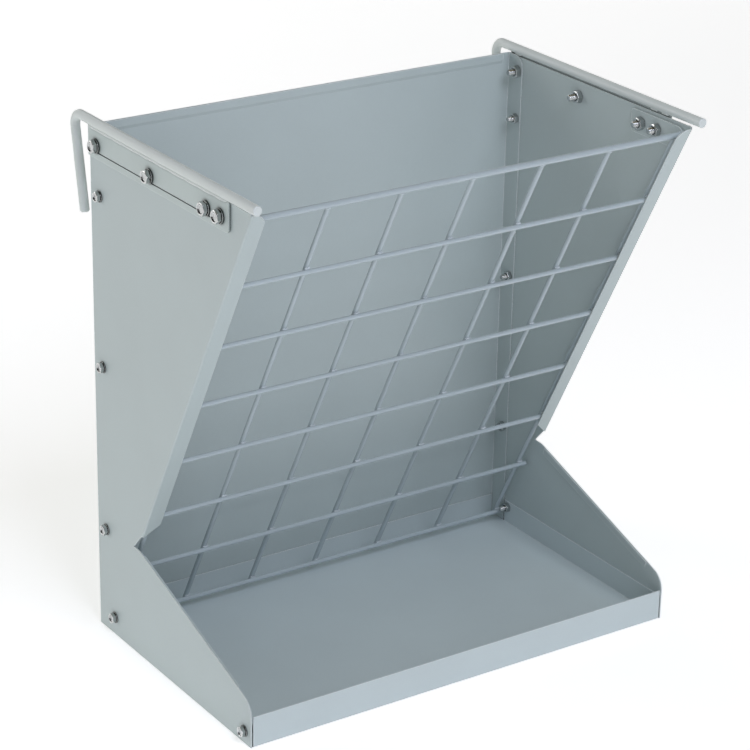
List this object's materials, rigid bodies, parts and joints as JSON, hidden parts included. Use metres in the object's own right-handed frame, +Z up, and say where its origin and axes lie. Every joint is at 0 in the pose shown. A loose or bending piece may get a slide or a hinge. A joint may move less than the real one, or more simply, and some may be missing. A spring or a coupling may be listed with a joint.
{
  "type": "hay rack feeder",
  "caption": "Painted sheet-steel hay rack feeder with a sloping wire grid, a catch tray below it and two rod hooks that hang it over a rail.",
  "frame": {"origin": "Bottom centre of the whole object's box, on the surface it stands on: midway between the front ends of the rods and the back of the hooks, midway between the sides.", "axes": "X runs across the feeder, the tray and grid face -Y, the back panel and hooks are at +Y, Z is up."},
  "size_m": [0.4252, 0.281, 0.4495],
  "materials": {
    "body_paint": "smooth grey powder coat, semi-matte",
    "rod_paint": "smooth grey powder coat, semi-matte",
    "wire_paint": "smooth grey powder coat, semi-matte",
    "plated_steel": "bright zinc plate"
  },
  "bodies": {
    "root": {"left_side_panel": "body_paint", "right_side_panel": "body_paint", "back_panel": "body_paint", "floor_tray": "body_paint", "left_hanger_strip": "body_paint", "right_hanger_strip": "body_paint", "left_hook_rod": "rod_paint", "right_hook_rod": "rod_paint", "grid_top_rail": "wire_paint", "left_grid_end_plate": "wire_paint", "right_grid_end_plate": "wire_paint", "grid_cross_wire_1": "wire_paint", "grid_cross_wire_2": "wire_paint", "grid_cross_wire_3": "wire_paint", "grid_cross_wire_4": "wire_paint", "grid_cross_wire_5": "wire_paint", "grid_cross_wire_6": "wire_paint", "grid_cross_wire_7": "wire_paint", "grid_upright_wire_1": "wire_paint", "grid_upright_wire_2": "wire_paint", "grid_upright_wire_3": "wire_paint", "grid_upright_wire_4": "wire_paint", "grid_upright_wire_5": "wire_paint", "grid_upright_wire_6": "wire_paint", "grid_upright_wire_7": "wire_paint", "left_m6_bolts": "plated_steel", "left_m6_washers": "plated_steel", "left_m6_nuts": "plated_steel", "left_m5_bolts": "plated_steel", "left_m5_washers": "plated_steel", "left_m5_nuts": "plated_steel", "right_m6_bolts": "plated_steel", "right_m6_washers": "plated_steel", "right_m6_nuts": "plated_steel", "right_m5_bolts": "plated_steel", "right_m5_washers": "plated_steel", "right_m5_nuts": "plated_steel"}
  },
  "joints": []
}
